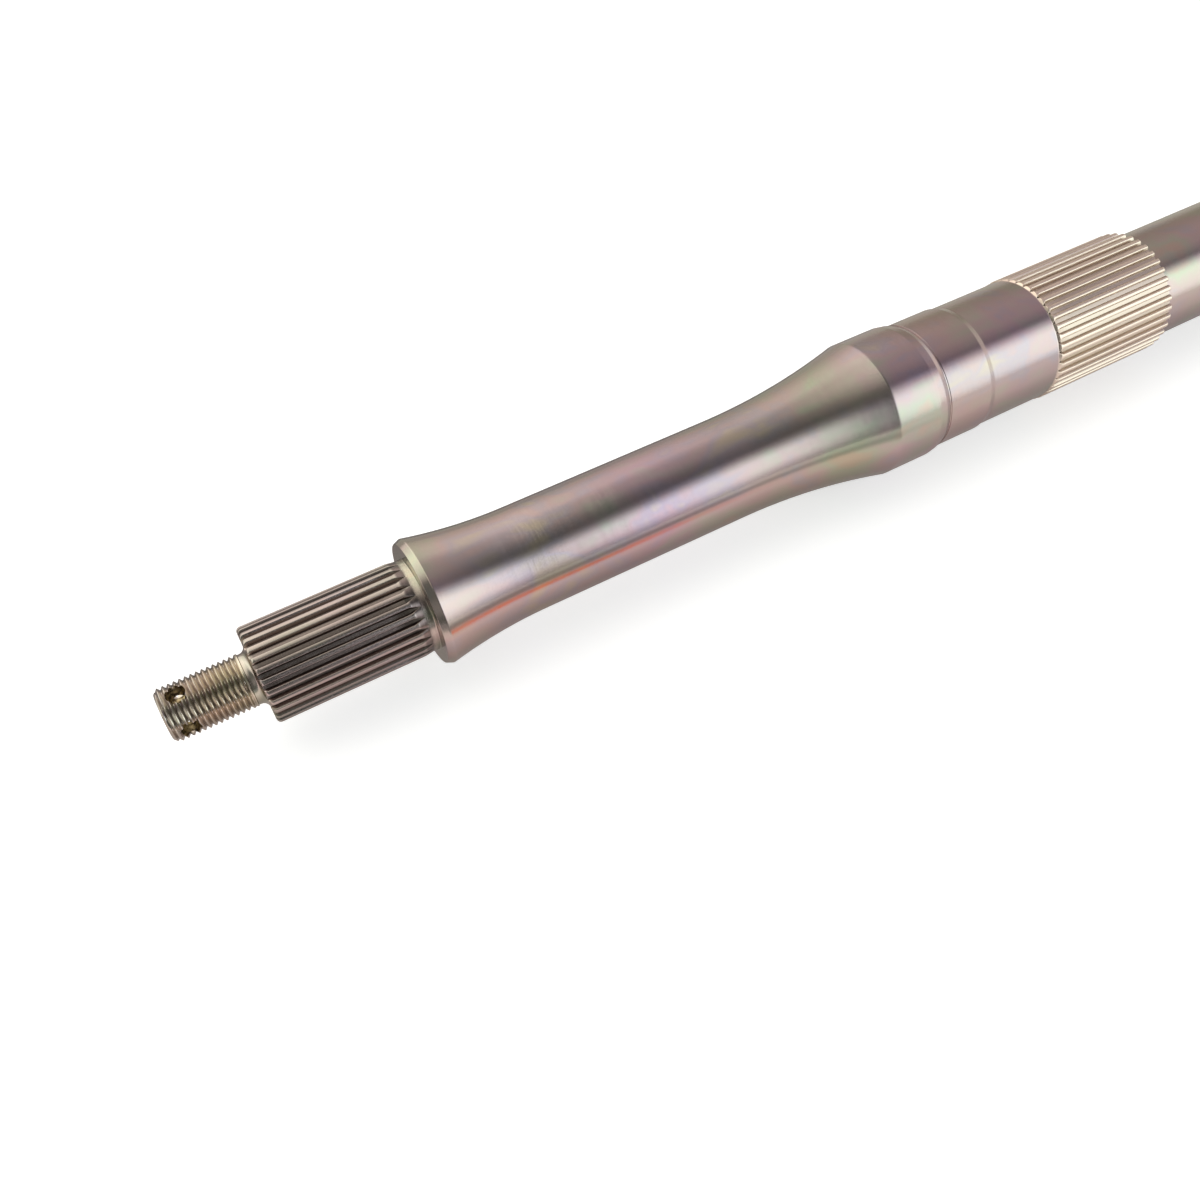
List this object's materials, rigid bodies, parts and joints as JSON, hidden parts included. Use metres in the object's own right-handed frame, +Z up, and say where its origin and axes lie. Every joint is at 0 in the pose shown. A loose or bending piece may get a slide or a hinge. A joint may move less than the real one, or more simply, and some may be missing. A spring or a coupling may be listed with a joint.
{
  "type": "axle shaft",
  "caption": "Solid rear axle shaft with a threaded, cotter-drilled stub and a hub spline at each end, a seating collar, an hourglass waist, and a shouldered sprocket seat with its own spline.",
  "frame": {"origin": "middle of the shaft's length, on its axis", "axes": "+X along the axis, from the end with the collar and sprocket spline towards the plain far end; +Z up, through one cotter hole of each end and a gap of every spline"},
  "size_m": [0.88, 0.0404, 0.0406],
  "materials": {
    "plated_steel": "turned and ground steel, zinc plated, with a faint rainbow tint"
  },
  "bodies": {
    "root": {"axle_shaft": "plated_steel"}
  },
  "joints": []
}
